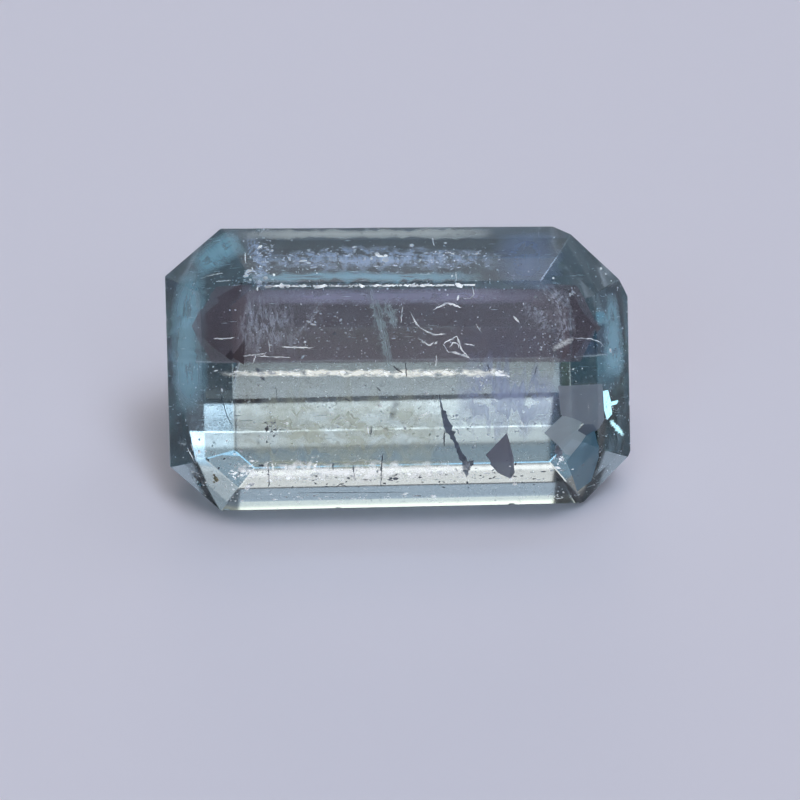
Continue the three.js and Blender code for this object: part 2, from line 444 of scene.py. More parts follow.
def double_pyramids(name, centres, axes, sides_u, sides_v, corners, material):
    """Closed grains, all in one mesh: two pyramids base to base, centre +- axis their tips.

    Rim corner k is centre + u cos(a) + v sin(a) with a = 2 pi k / corners, and u, v, axis right-handed.
    """
    angles = np.arange(corners) * 2 * np.pi / corners
    rim = (
        centres[:, None]
        + sides_u[:, None] * np.cos(angles)[None, :, None]
        + sides_v[:, None] * np.sin(angles)[None, :, None]
    )
    tips = np.stack([centres + axes, centres - axes], axis=1)
    points = np.concatenate([tips, rim], axis=1)
    first = np.arange(len(centres))[:, None] * (corners + 2)
    tip = np.broadcast_to(first, (len(centres), corners))
    here = first + 2 + np.arange(corners)
    there = np.roll(here, -1, axis=1)
    upper = np.stack([tip, here, there], axis=-1)
    lower = np.stack([tip + 1, there, here], axis=-1)
    faces = np.concatenate([upper, lower], axis=1).reshape(-1, 3)
    add_piece(name, points.reshape(-1, 3), faces.tolist(), material)


def flakes(name, centres, radius_px, material, seed, along=1.0, thickness=0.15):
    """Flat grains that lie at random angles. along stretches each one in the stone's own length."""
    random = np.random.default_rng(seed)
    count = len(centres)
    axes = unit(random.normal(size=(count, 3)))
    sides_u = unit(np.cross(axes, random.normal(size=(count, 3))))
    sides_v = np.cross(axes, sides_u)
    radius = radius_px * PIXEL * random.lognormal(0.0, FLAKE_SIZES, count)[:, None]
    stretch = np.eye(3) + (along - 1) * np.outer(ALONG, ALONG)
    slim = random.uniform(0.4, 1.0, count)[:, None]
    double_pyramids(
        name,
        centres,
        axes * radius * thickness,
        sides_u * radius @ stretch,
        sides_v * radius * slim @ stretch,
        FLAKE_CORNERS,
        material,
    )


def needles(name, centres, length_px, width_px, material, seed):
    """Long thin grains that lie nearly along the stone."""
    random = np.random.default_rng(seed)
    count = len(centres)
    way = unit(ALONG + random.normal(size=(count, 3)) * NEEDLE_LEAN)
    half = length_px * PIXEL / 2 * random.lognormal(0.0, NEEDLE_LENGTHS, count)[:, None]
    thick = width_px * PIXEL / 2 * random.uniform(0.6, 1.4, count)[:, None]
    sides_u = unit(np.cross(way, random.normal(size=(count, 3))))
    sides_v = np.cross(way, sides_u)
    double_pyramids(
        name, centres, way * half, sides_u * thick, sides_v * thick, NEEDLE_CORNERS, material
    )


def along_pixels(pixels, steps):
    """Points at even distances along a chain of pixels."""
    pixels = np.asarray(pixels, dtype=float)
    way = np.concatenate([[0.0], np.cumsum(np.linalg.norm(np.diff(pixels, axis=0), axis=1))])
    at = np.linspace(0.0, way[-1], steps)
    return np.column_stack([np.interp(at, way, pixels[:, 0]), np.interp(at, way, pixels[:, 1])])


def threads(name, routes, material, seed):
    """Thin cracks seen edge on, all in one mesh. A route is (pixels, width in pixels, depth).

    With s from 0 to 1 along it, a ring has four corners at centre + w (cos a, flatness sin a) across the
    route, and w = lean * width / 2 * sqrt(1 - (2s - 1)^2) * a random share, so both ends taper to a tip.
    """
    random = np.random.default_rng(seed)
    eye = np.array(camera.location)
    points, faces = [], []
    base = 0
    for pixels, width_px, depth in routes:
        route = along_pixels(pixels, THREAD_STEPS)
        route = route + random.normal(size=(THREAD_STEPS, 2)) * THREAD_WANDER
        line = below_polish(route, depth)
        way = unit(np.gradient(line, axis=0))
        facing = unit(eye - line)
        across = unit(np.cross(way, facing))
        facing = np.cross(across, way)
        share = np.linspace(0.0, 1.0, THREAD_STEPS)
        taper = np.sqrt(np.maximum(1 - (2 * share - 1) ** 2, 0.0)) * random.uniform(0.5, 1.3, THREAD_STEPS)
        half = (width_px * THREAD_LEAN * PIXEL / 2 * taper)[1:-1, None]
        angles = np.arange(THREAD_SECTION) * 2 * np.pi / THREAD_SECTION
        rings = (
            line[1:-1, None]
            + (across[1:-1] * half)[:, None] * np.cos(angles)[None, :, None]
            - (facing[1:-1] * half * THREAD_FLATNESS)[:, None] * np.sin(angles)[None, :, None]
        )
        count = len(rings)
        points.append(np.concatenate([rings.reshape(-1, 3), line[:1], line[-1:]]))
        here = np.arange(THREAD_SECTION)
        there = np.roll(here, -1)
        start = base + np.arange(count - 1)[:, None] * THREAD_SECTION
        walls = np.stack(
            [start + here, start + there, start + THREAD_SECTION + there, start + THREAD_SECTION + here],
            axis=-1,
        )
        faces += walls.reshape(-1, 4).tolist()
        last = base + (count - 1) * THREAD_SECTION
        tip = base + count * THREAD_SECTION
        faces += np.column_stack([np.full(THREAD_SECTION, tip), base + there, base + here]).tolist()
        faces += np.column_stack([np.full(THREAD_SECTION, tip + 1), last + here, last + there]).tolist()
        base += count * THREAD_SECTION + 2
    add_piece(name, np.concatenate(points), faces, material)


def add_veil(name, points, faces, material, fade, uv):
    """A piece that is a surface with a veil's thickness, with one fade and one row of uv for each point."""
    piece = add_piece(name, points, faces, material)
    attribute = piece.data.attributes.new("fade", "FLOAT", "POINT")
    attribute.data.foreach_set("value", fade.astype(np.float32))
    layer = piece.data.uv_layers.new(name="sheet")
    corners = np.empty(len(piece.data.loops), dtype=np.int32)
    piece.data.loops.foreach_get("vertex_index", corners)
    layer.data.foreach_set("uv", uv[corners].astype(np.float32).ravel())
    wall = piece.modifiers.new("thickness", "SOLIDIFY")
    wall.thickness = VEIL_THICKNESS


def sheet(name, spine, half_widths, depth, material, seed, tilt=0.3, ragged=0.25, soft=True):
    """A crack, veil, painted reflection or painted shade seen flat on: a band along a chain of pixels, with
    half widths in pixels.

    With s along the spine and t across from -1 to 1, the pixel is spine(s) + normal(s) t w(s) r(s, side),
    where r is a random share near 1, and the depth is depth + tilt t, in millimetres. fade is
    (1 - t^2) (1 - (2s - 1)^4), or 1 for a sheet that isn't soft.
    """
    random = np.random.default_rng(seed)
    route = along_pixels(spine, SHEET_ROWS)
    way = unit(np.gradient(route, axis=0))
    across = np.column_stack([way[:, 1], -way[:, 0]])
    s = np.linspace(0.0, 1.0, SHEET_ROWS)
    t = np.linspace(-1.0, 1.0, SHEET_COLUMNS)
    widths = np.interp(s, np.linspace(0.0, 1.0, len(half_widths)), half_widths)
    edges = 1 + ragged * random.normal(size=(2, SHEET_ROWS))
    side = np.where(t[None, :] < 0, edges[0][:, None], edges[1][:, None])
    pixels = route[:, None] + across[:, None] * (t[None, :] * widths[:, None] * side)[..., None]
    depths = np.tile(depth + tilt * t, SHEET_ROWS)
    points = below_polish(pixels.reshape(-1, 2), depths)
    first = (np.arange(SHEET_ROWS - 1)[:, None] * SHEET_COLUMNS + np.arange(SHEET_COLUMNS - 1)).ravel()
    faces = np.column_stack([first, first + 1, first + SHEET_COLUMNS + 1, first + SHEET_COLUMNS])
    fade = np.ones((SHEET_ROWS, SHEET_COLUMNS))
    if soft:
        fade = (1 - t[None, :] ** 2) * (1 - (2 * s[:, None] - 1) ** 4)
    uv = np.stack(np.broadcast_arrays(s[:, None], t[None, :] / 2 + 0.5), axis=-1).reshape(-1, 2)
    add_veil(name, points, faces.tolist(), material, fade.ravel(), uv)


def plane(name, outline, depth, material):
    """A flat patch with straight edges: a fan of triangles over a convex outline of pixels, at one depth.

    Its uv runs from 0 to 1 over the outline's box.
    """
    flat = np.asarray(outline, dtype=float)
    uv = (flat - flat.min(axis=0)) / np.ptp(flat, axis=0)
    faces = [(0, corner, corner + 1) for corner in range(1, len(flat) - 1)]
    add_veil(name, below_polish(flat, depth), faces, material, np.ones(len(flat)), uv)


stone.data.materials.clear()
stone.data.materials.append(beryl_material())


# Specks through the whole stone

flakes("mirror_specks", anywhere(300, 1), 0.7, FLAKE, 2)
flakes("white_specks", anywhere(420, 3), 0.6, WHITE_AND_PAINTED_GLINT, 4, thickness=0.5)
flakes("pale_specks", anywhere(900, 9), 0.5, PALE, 10, thickness=0.5)
flakes("dark_specks", anywhere(70, 5), 0.6, DARK, 6, thickness=0.5)
needles("growth_tubes", anywhere(260, 7), 9.0, 0.5, TEAL_WHITE, 8)

# Clouds of flakes: name, pixel, spread in pixels, count, depth, radius in pixels, stretch, material
CLOUDS = (
    ("upper_left_cluster", (265, 252), (4, 12), 50, 0.4, 0.9, 1.4, PALE),
    ("upper_left_glints", (262, 262), (7, 12), 14, 0.4, 1.1, 1.4, WHITE_AND_PAINTED_GLINT),
    ("corner_cluster", (252, 277), (9, 3), 22, 0.4, 1.0, 1.8, PALE),
    ("back_band_left", (330, 258), (38, 5), 110, 0.5, 0.9, 2.4, PALE),
    ("back_band_right", (440, 256), (32, 5), 70, 0.5, 0.9, 2.2, PALE),
    ("back_band_glints", (380, 257), (60, 6), 26, 0.5, 0.9, 2.2, WHITE_AND_PAINTED_GLINT),
    ("back_knot", (447, 253), (7, 2.5), 14, 0.3, 0.9, 1.5, WHITE_AND_PAINTED_GLINT),
    # bright_streak_left to streak_fall glow white along the bright streak: a painted highlight.
    ("bright_streak_left", (300, 373), (40, 1.6), 100, 0.3, 0.8, 3.0, WHITE_AND_PAINTED_GLINT),
    ("bright_streak_middle", (430, 373), (30, 1.6), 80, 0.3, 0.8, 3.0, WHITE_AND_PAINTED_GLINT),
    ("streak_patch", (499, 373), (6, 1.8), 36, 0.3, 1.0, 2.0, WHITE_AND_PAINTED_GLINT),
    ("streak_fall", (479, 378), (4, 6), 22, 0.4, 0.9, 1.0, WHITE_AND_PAINTED_GLINT),
    ("front_specks", (400, 420), (90, 22), 300, 0.9, 0.6, 1.2, PALE),
    ("front_glints", (400, 425), (90, 22), 130, 0.9, 0.8, 1.2, WHITE_AND_PAINTED_GLINT),
    ("shadow_specks_left", (330, 330), (40, 16), 150, 0.6, 0.6, 1.8, PALE),
    ("shadow_specks_middle", (405, 325), (22, 20), 110, 0.6, 0.6, 1.0, PALE),
    ("shadow_specks_right", (555, 338), (20, 20), 80, 0.6, 0.6, 1.0, PALE),
    ("shadow_glints", (380, 325), (70, 18), 40, 0.6, 0.7, 1.0, WHITE_AND_PAINTED_GLINT),
    ("right_knot", (573, 292), (3, 3), 14, 0.3, 1.1, 1.0, PALE),
    ("right_dots", (542, 342), (7, 4), 30, 0.3, 0.8, 1.0, PALE),
    ("dark_star", (271, 431), (5, 6), 26, 0.4, 1.3, 1.0, DARK),
    ("bright_star", (272, 430), (7, 7), 22, 0.35, 1.0, 1.2, WHITE_AND_PAINTED_GLINT),
    ("lower_right_knot", (560, 461), (3.5, 4), 22, 0.2, 1.2, 1.0, WHITE_AND_PAINTED_GLINT),
    ("lower_right_rim", (557, 496), (4, 3), 16, 0.15, 1.2, 1.0, WHITE_AND_PAINTED_GLINT),
    ("lower_left_patch", (238, 476), (9, 8), 60, 0.2, 1.3, 1.3, WHITE_AND_PAINTED_GLINT),
    # white_band_left, white_band_right and front_rim glow white along the white band and the front rim:
    # painted highlights.
    ("white_band_left", (320, 473), (40, 5), 140, 0.3, 1.2, 1.4, WHITE_AND_PAINTED_GLINT),
    ("white_band_right", (470, 473), (45, 5), 90, 0.3, 1.1, 1.4, WHITE_AND_PAINTED_GLINT),
    ("white_band_shadows", (390, 478), (85, 5), 90, 0.2, 1.2, 1.5, DARK),
    ("front_rim", (390, 497), (90, 2.5), 120, 0.15, 0.9, 2.2, WHITE_AND_PAINTED_GLINT),
    ("left_end_specks", (195, 400), (10, 45), 46, 0.5, 0.7, 1.0, PALE),
    ("right_end_specks", (612, 380), (9, 50), 70, 0.5, 0.7, 1.0, PALE),
)

CLOUD_PLACES = 100  # the first cloud's seeds, for its places and for its flakes
CLOUD_FLAKES = 200

for number, (name, pixel, spread, count, depth, radius, stretch, material) in enumerate(CLOUDS):
    places = cloud(pixel, spread, count, depth, CLOUD_PLACES + number)
    flakes(name, places, radius, material, CLOUD_FLAKES + number, along=stretch, thickness=0.35)


def dots(name, pixels, radius_px, depth, material, seed):
    """Round grains at chosen pixels."""
    flakes(name, below_polish(pixels, depth), radius_px, material, seed, thickness=0.9)


BRIGHT_DOTS = ((587.7, 348), (610.5, 350.5))
CORNER_DOTS = ((594.6, 255.7), (601, 268.4), (605.7, 274), (611.3, 280.7), (620.9, 286))
SCRATCH_DOTS = ((198, 452.3), (206, 451.3), (211, 451.8), (214.8, 453.9))
BACK_DOTS = ((480, 254), (447, 258), (251, 279), (377, 254), (452, 276), (553, 277))
BLACK_PIT = ((195.4, 473.8), (192.3, 477.9))
RUSTY_SPOT = ((214, 475), (216, 479), (214, 482))

dots("bright_dots", BRIGHT_DOTS, 2.0, 0.15, WHITE_AND_PAINTED_GLINT, 301)
dots("corner_dots", CORNER_DOTS, 1.2, 0.1, WHITE_AND_PAINTED_GLINT, 302)
dots("scratch_dots", SCRATCH_DOTS, 1.3, 0.1, WHITE_AND_PAINTED_GLINT, 303)
dots("back_dots", BACK_DOTS, 1.5, 0.2, WHITE_AND_PAINTED_GLINT, 304)
dots("black_pit", BLACK_PIT, 1.7, 0.1, BLACK, 305)
dots("rusty_spot", RUSTY_SPOT, 2.6, 0.15, RUST, 306)

# Thin white cracks: pixels, width in pixels, depth
WHITE_ROUTES = (
    (((409.6, 310.7), (416, 323.5), (423, 330), (434, 334.6), (447, 334)), 1.9, 0.5),
    (((417.5, 337.8), (429.5, 345.8), (434, 342)), 2.2, 0.5),
    (((432.7, 310), (442, 306), (446, 303), (452, 304), (461.4, 307.5)), 2.6, 0.4),
    (((457, 301), (459, 295)), 1.8, 0.4),
    (((472.6, 286.8), (474, 294.7), (470, 298.7), (462, 298)), 1.2, 0.3),
    (((464, 344), (475, 345.5)), 1.0, 0.3),
    (((513, 316), (519, 322)), 2.0, 0.3),
    (((477, 326), (481, 332)), 1.4, 0.3),
    (((574, 338), (591, 338.5), (599, 342), (605, 347)), 1.2, 0.3),
    (((401, 323), (402.5, 306)), 1.3, 0.4),
    (((436, 366), (436.5, 355)), 1.5, 0.2),
    (((281, 346.8), (297, 347.4), (314, 347.7)), 1.5, 0.2),
    (((243, 356), (266, 353.5)), 1.2, 0.2),
    (((256, 356), (275, 357), (291, 357.6)), 1.1, 0.2),
    (((213, 338.5), (222, 338.8), (233, 337.7)), 1.5, 0.2),
    (((253, 363.5), (256, 355)), 1.5, 0.2),
    (((268.6, 340), (270, 352)), 1.2, 0.2),
    (((186.7, 446.7), (195.4, 463)), 1.5, 0.1),
    (((196.5, 450), (195.4, 463)), 1.1, 0.1),
    (((190.8, 443.7), (192.9, 450.5)), 1.3, 0.1),
    (((200.6, 278.8), (211.4, 274.7), (223, 273)), 1.3, 0.2),
    (((215.5, 281.3), (231.3, 280.5)), 1.2, 0.2),
    (((418, 418.5), (430, 412)), 1.5, 0.3),
    (((455, 427), (461, 436)), 1.5, 0.3),
    (((367.5, 426), (368.5, 434)), 1.6, 0.3),
    (((588, 404), (589, 412)), 1.3, 0.3),
    (((389, 418), (392, 412)), 1.3, 0.3),
    (((245, 252), (245.5, 262)), 1.3, 0.3),
    (((456, 272), (456.5, 281)), 1.3, 0.3),
    (((432.5, 238), (434, 246)), 1.4, 0.2),
    (((520, 420), (524, 427)), 1.0, 0.3),
    (((443, 344), (457, 336), (462, 349)), 1.4, 0.3),
    (((443, 344), (448, 352), (457, 352)), 1.6, 0.3),
    (((457, 336.5), (461.7, 350), (470.2, 358.5)), 1.6, 0.3),
    (((452, 352.6), (461, 354.6), (469, 358)), 2.6, 0.3),
    (((450, 347), (453, 342.5), (458, 343.5), (459, 348)), 1.1, 0.25),
)
threads("white_cracks", WHITE_ROUTES, WHITE_AND_PAINTED_GLINT, 401)

# Thin dark cracks, in the same way
DARK_ROUTES = (
    (((268.6, 465), (269, 488)), 1.8, 0.15),
    (((332.5, 463), (333.5, 470)), 1.6, 0.15),
    (((353, 466), (355, 481)), 2.2, 0.15),
    (((383, 458), (381.4, 466), (381, 487)), 2.4, 0.15),
    (((405.5, 362), (406.5, 378)), 1.6, 0.2),
    (((393, 366), (398, 370), (403, 373)), 1.8, 0.2),
    (((487, 364), (491, 374)), 2.0, 0.2),
    (((536.5, 366), (535, 375)), 1.3, 0.2),
    (((444.4, 430), (444.2, 447)), 1.8, 0.2),
    (((372, 426), (370, 436)), 1.5, 0.3),
    (((376, 387), (381, 391)), 1.3, 0.2),
    (((345, 398), (350, 401)), 1.6, 0.2),
    (((219, 391), (223, 402), (226, 414), (233, 427)), 1.1, 0.15),
    (((293, 492.8), (350, 492.6), (409, 492.3)), 1.4, 0.1),
    (((236, 478), (244, 468)), 1.3, 0.15),
    (((335, 487), (340, 484), (346, 486)), 1.6, 0.15),
    (((276, 386), (277, 400)), 1.0, 0.2),
    (((602, 391), (603.5, 408), (606, 420)), 1.2, 0.15),
)
threads("dark_cracks", DARK_ROUTES, DARK, 402)

# What is seen flat on: name, colour, cover, grain, gap, painted glint. Needle, pale, blue, solid, dark,
# smoke and smear veils are flaws of the stone. The others are painted reflections and painted shade: zones
# of light and colour that it reflects.
NEEDLE_VEIL = veil_material("needle_veil", (0.72, 0.88, 0.92), 0.8, (5.0, 16.0), 0.5, 0.12)
PALE_VEIL = veil_material("pale_veil", (0.84, 0.86, 0.98), 0.5, (14.0, 6.0), 0.5, 0.1)
BLUE_VEIL = veil_material("blue_veil", (0.60, 0.75, 1.0), 0.6, (24.0, 4.0), 0.48, 0.15)
# Painted reflection: a pale grey band along the back of the crown.
GREY_PAINTED_REFLECTION = veil_material("grey_painted_reflection", (0.80, 0.86, 0.84), 0.6, (16.0, 1.5), 0.3, 0.1)
# Painted highlight: the bright streak across the middle of the stone.
STREAK_PAINTED_HIGHLIGHT = veil_material("streak_painted_highlight", (0.98, 0.98, 0.92), 0.95, (26.0, 2.0), 0.45, 0.5)
# Painted highlight: the white band near the front edge, where a lamp shows through the stone.
BAND_PAINTED_HIGHLIGHT = veil_material("band_painted_highlight", (0.97, 0.98, 1.0), 0.75, (22.0, 3.0), 0.5, 0.5)
# Painted reflection: teal light at both ends and along the back of the table.
END_PAINTED_REFLECTION = veil_material("end_painted_reflection", (0.42, 0.74, 0.90), 0.5, (4.0, 3.0), 0.36, 0.18)
# Painted reflection: a slate-blue patch at the back right.
SLATE_BLUE_PAINTED_REFLECTION = veil_material("slate_blue_painted_reflection", (0.28, 0.40, 0.62), 0.5, (3.0, 3.0), 0.35, 0.1)
# Painted shade: dark wedges at both tips of the dark middle zone.
TIP_PAINTED_SHADE = veil_material("tip_painted_shade", (0.14, 0.10, 0.12), 0.7, (2.0, 2.0), 0.1)
SOLID_VEIL = veil_material("solid_veil", (0.92, 0.93, 0.95), 0.8, (9.0, 4.0), 0.4, 0.15)
# Painted highlight: bright cyan patches at the right end.
CYAN_PAINTED_HIGHLIGHT = veil_material("cyan_painted_highlight", (0.62, 0.93, 1.0), 0.9, (3.0, 3.0), 0.35, 0.8)
DARK_VEIL = veil_material("dark_veil", (0.28, 0.34, 0.44), 0.9, (5.0, 3.0), 0.25)
SMOKE_VEIL = veil_material("smoke_veil", (0.32, 0.34, 0.42), 0.85, (3.0, 3.0), 0.15, 0.06)
SMEAR_VEIL = veil_material("smear_veil", (0.30, 0.34, 0.40), 0.35, (5.0, 3.0), 0.4)
# Painted reflection: a lilac strip just below the table's back edge.
LILAC_PAINTED_REFLECTION = veil_material("lilac_painted_reflection", (0.56, 0.54, 0.74), 0.4, (18.0, 2.0), 0.35, 0.16)
# Painted shade: the dark brownish zone across the middle of the table.
BROWN_PAINTED_SHADE = veil_material("brown_painted_shade", (0.34, 0.28, 0.33), 0.4, (5.0, 3.0), 0.2, 0.08)
# Painted reflection: a yellowish tinge in the light front zone and just above the white band.
WARM_PAINTED_REFLECTION = veil_material("warm_painted_reflection", (0.86, 0.84, 0.60), 0.4, (6.0, 4.0), 0.45, 0.12)
# Painted reflection: bluish-white light on the right of the front zone.
COOL_PAINTED_REFLECTION = veil_material("cool_painted_reflection", (0.60, 0.68, 0.98), 0.5, (4.0, 3.0), 0.4, 0.12)
# Painted reflections: grey, slate and deep blue patches at the front right end.
FIELD_PAINTED_REFLECTION = veil_material("field_painted_reflection", (0.50, 0.55, 0.64), 0.5, (3.0, 3.0), 0.2, 0.1)
SQUARE_PAINTED_REFLECTION = veil_material("square_painted_reflection", (0.55, 0.64, 0.70), 0.7, (3.0, 3.0), 0.1, 0.14)
DEEP_PAINTED_REFLECTION = veil_material("deep_painted_reflection", (0.16, 0.34, 0.46), 0.6, (3.0, 3.0), 0.1, 0.12)
SLATE_PAINTED_REFLECTION = veil_material("slate_painted_reflection", (0.22, 0.26, 0.34), 0.8, (3.0, 3.0), 0.1, 0.08)

# Outlines of the flat patches, in pixels
GREY_PLANE = ((507, 432.8), (513.3, 456.5), (514.8, 471.8), (513.3, 481.8), (498, 471.8), (485.7, 455))
DARK_HEXAGON = ((219, 290), (574, 289), (595, 327), (575, 362), (216, 363), (193, 327))
RIGHT_FIELD = ((560, 386), (602, 384), (604, 420), (597, 430), (563, 415))
BIG_SQUARE = ((544, 433), (563, 415), (584, 423), (577, 431), (559, 446))
SMALL_SQUARE = ((559, 446), (577, 431), (587, 437), (574, 456), (565, 454))
SLATE_PLANE = ((577, 431), (584, 424), (593, 424), (597, 430), (588, 437))
DEEP_PLANE = ((588, 437), (598, 433), (599, 457), (592, 482), (578, 492), (567, 462))
CYAN_PLANE = ((603, 391), (608, 390), (611, 402), (612, 414), (607, 420), (604, 410))
CYAN_SLIVER = ((606, 403), (618, 400), (617, 404), (607, 407))

# Spines of the bands, in pixels
CENTRAL_VEIL_SPINE = ((370, 284), (378, 312), (385, 340), (391, 371))
CENTRAL_BRANCH_SPINE = ((384, 300), (392, 316), (396, 330))
LEFT_WEDGE_VEIL_SPINE = ((332, 290), (312, 322), (290, 354))
LEFT_SHADOW_VEIL_SPINE = ((236, 325), (262, 326), (296, 324))
RIGHT_CURVED_VEIL_SPINE = ((538, 284), (559, 304), (565, 327), (555, 350))
RIGHT_ROUND_VEIL_SPINE = ((520, 300), (545, 312), (560, 330))
RIGHT_SOLID_VEIL_SPINE = ((552, 350), (561, 345), (573, 338))
BACK_BLUE_VEIL_SPINE = ((262, 262), (330, 259), (420, 258), (505, 262))
CORNER_VEIL_SPINE = ((246, 236), (262, 256), (258, 282))
BACK_GREY_PAINTED_REFLECTION_SPINE = ((236, 235), (360, 234), (496, 233))
STREAK_PAINTED_HIGHLIGHT_SPINE = ((219, 374), (360, 373.5), (508, 373))
FRONT_BAND_PAINTED_HIGHLIGHT_SPINE = ((228, 473), (340, 472), (478, 472))
LEFT_END_PAINTED_REFLECTION_SPINE = ((190, 268), (187, 310), (187, 360), (190, 415))
BACK_LEFT_PAINTED_REFLECTION_SPINE = ((196, 270), (218, 252), (240, 240))
BACK_TEAL_PAINTED_REFLECTION_SPINE = ((240, 277), (360, 277), (485, 277))
SLATE_PATCH_SPINE = ((526, 231), (527, 258), (524, 284))
RIGHT_END_PAINTED_REFLECTION_SPINE = ((611, 292), (613, 330), (614, 378))
LEFT_TIP_SPINE = ((192, 327), (214, 327), (238, 327))
RIGHT_TIP_SPINE = ((596, 327), (586, 327), (572, 327))
CYAN_TAIL_SPINE = ((610, 420), (617, 428), (624, 436))
LONG_CRACK_SPINE = ((439.5, 395), (441, 405), (444, 417), (448, 428), (455, 442), (461, 456), (466, 466))
LONG_CRACK_WIDTHS = (0.3, 1.2, 3.2, 3.4, 2.0, 2.4, 3.0)
CRACK_FOOT_SPINE = ((474, 463), (466, 467), (466.5, 477))
LEAF_CRACK_SPINE = ((255, 367), (260, 373), (265, 382))
SMALL_GREY_SPINE = ((556, 445), (558, 451), (556, 457))
LILAC_PAINTED_REFLECTION_SPINE = ((240, 297), (380, 296.5), (545, 296))
WARM_FRINGE_SPINE = ((236, 464), (330, 463), (450, 463))
FRONT_WARM_PAINTED_REFLECTION_SPINE = ((228, 428), (340, 427), (452, 428))
FRONT_COOL_PAINTED_REFLECTION_SPINE = ((455, 396), (510, 398), (562, 404))
MIDDLE_SMEAR_SPINE = ((398, 393), (394, 408), (391, 424))

sheet("central_veil", CENTRAL_VEIL_SPINE, (5, 8, 7, 5), 0.8, NEEDLE_VEIL, 501)
sheet("central_branch", CENTRAL_BRANCH_SPINE, (5, 7, 3), 0.6, NEEDLE_VEIL, 502)
sheet("left_wedge_veil", LEFT_WEDGE_VEIL_SPINE, (8, 10, 9), 1.0, PALE_VEIL, 503)
sheet("left_shadow_veil", LEFT_SHADOW_VEIL_SPINE, (26, 28, 24), 0.7, PALE_VEIL, 504)
sheet("right_curved_veil", RIGHT_CURVED_VEIL_SPINE, (4, 6, 7, 4), 0.6, PALE_VEIL, 505)
sheet("right_round_veil", RIGHT_ROUND_VEIL_SPINE, (10, 18, 12), 1.0, PALE_VEIL, 506)
sheet("right_solid_veil", RIGHT_SOLID_VEIL_SPINE, (2, 4, 2.5), 0.25, SOLID_VEIL, 507, tilt=0.05)
sheet("back_blue_veil", BACK_BLUE_VEIL_SPINE, (8, 11, 11, 7), 0.5, BLUE_VEIL, 508)
sheet("corner_veil", CORNER_VEIL_SPINE, (7, 10, 8), 0.5, BLUE_VEIL, 509)
# Painted reflections, painted highlights and painted shade, down to cyan_tail: not flaws.
sheet("back_grey_painted_reflection", BACK_GREY_PAINTED_REFLECTION_SPINE, (5, 5, 5), 0.2, GREY_PAINTED_REFLECTION, 518, tilt=0.02)
sheet("streak_painted_highlight", STREAK_PAINTED_HIGHLIGHT_SPINE, (3, 4, 4), 0.25, STREAK_PAINTED_HIGHLIGHT, 519, tilt=0.05)
sheet("front_band_painted_highlight", FRONT_BAND_PAINTED_HIGHLIGHT_SPINE, (9, 9, 8), 0.15, BAND_PAINTED_HIGHLIGHT, 520, tilt=0.05)
sheet("left_end_painted_reflection", LEFT_END_PAINTED_REFLECTION_SPINE, (12, 17, 18, 14), 0.5, END_PAINTED_REFLECTION, 521, ragged=0.06)
sheet("back_left_painted_reflection", BACK_LEFT_PAINTED_REFLECTION_SPINE, (13, 16, 13), 0.3, END_PAINTED_REFLECTION, 522, ragged=0.06)
sheet("back_teal_painted_reflection", BACK_TEAL_PAINTED_REFLECTION_SPINE, (5, 5, 5), 0.4, END_PAINTED_REFLECTION, 527)
sheet("slate_patch", SLATE_PATCH_SPINE, (30, 33, 30), 0.5, SLATE_BLUE_PAINTED_REFLECTION, 531, ragged=0.1)
sheet("right_end_painted_reflection", RIGHT_END_PAINTED_REFLECTION_SPINE, (5, 10, 12), 0.5, END_PAINTED_REFLECTION, 528, ragged=0.06)
sheet("left_tip", LEFT_TIP_SPINE, (0.5, 22, 38), 1.2, TIP_PAINTED_SHADE, 523, ragged=0.0, soft=False)
sheet("right_tip", RIGHT_TIP_SPINE, (0.5, 14, 34), 1.2, TIP_PAINTED_SHADE, 524, ragged=0.0, soft=False)
sheet("cyan_tail", CYAN_TAIL_SPINE, (2, 3, 1.5), 0.15, CYAN_PAINTED_HIGHLIGHT, 511, tilt=0.05)
sheet("long_crack", LONG_CRACK_SPINE, LONG_CRACK_WIDTHS, 0.5, DARK_VEIL, 512, tilt=0.08, soft=False)
sheet("crack_foot", CRACK_FOOT_SPINE, (0.5, 4.0, 0.4), 0.3, DARK_VEIL, 513, tilt=0.05, soft=False)
sheet("leaf_crack", LEAF_CRACK_SPINE, (0.6, 3.4, 0.8), 0.3, DARK_VEIL, 514, tilt=0.05)
plane("grey_plane", GREY_PLANE, 0.4, SMOKE_VEIL)
sheet("small_grey_plane", SMALL_GREY_SPINE, (0.6, 3.2, 0.8), 0.3, SMOKE_VEIL, 516, tilt=0.05, soft=False)
# Painted shade and painted reflections, down to cyan_sliver: not flaws.
plane("brown_painted_shade", DARK_HEXAGON, 1.0, BROWN_PAINTED_SHADE)
sheet("lilac_painted_reflection", LILAC_PAINTED_REFLECTION_SPINE, (8, 9, 8), 0.5, LILAC_PAINTED_REFLECTION, 530, ragged=0.06)
sheet("warm_fringe", WARM_FRINGE_SPINE, (3, 3.4, 3), 0.3, WARM_PAINTED_REFLECTION, 529, tilt=0.05)
sheet("front_warm_painted_reflection", FRONT_WARM_PAINTED_REFLECTION_SPINE, (36, 38, 34), 0.9, WARM_PAINTED_REFLECTION, 525)
sheet("front_cool_painted_reflection", FRONT_COOL_PAINTED_REFLECTION_SPINE, (34, 38, 34), 0.7, COOL_PAINTED_REFLECTION, 526)
plane("right_field", RIGHT_FIELD, 0.3, FIELD_PAINTED_REFLECTION)
plane("big_square", BIG_SQUARE, 0.22, SQUARE_PAINTED_REFLECTION)
plane("small_square", SMALL_SQUARE, 0.2, SQUARE_PAINTED_REFLECTION)
plane("slate_plane", SLATE_PLANE, 0.2, SLATE_PAINTED_REFLECTION)
plane("deep_plane", DEEP_PLANE, 0.25, DEEP_PAINTED_REFLECTION)
plane("cyan_patch", CYAN_PLANE, 0.15, CYAN_PAINTED_HIGHLIGHT)
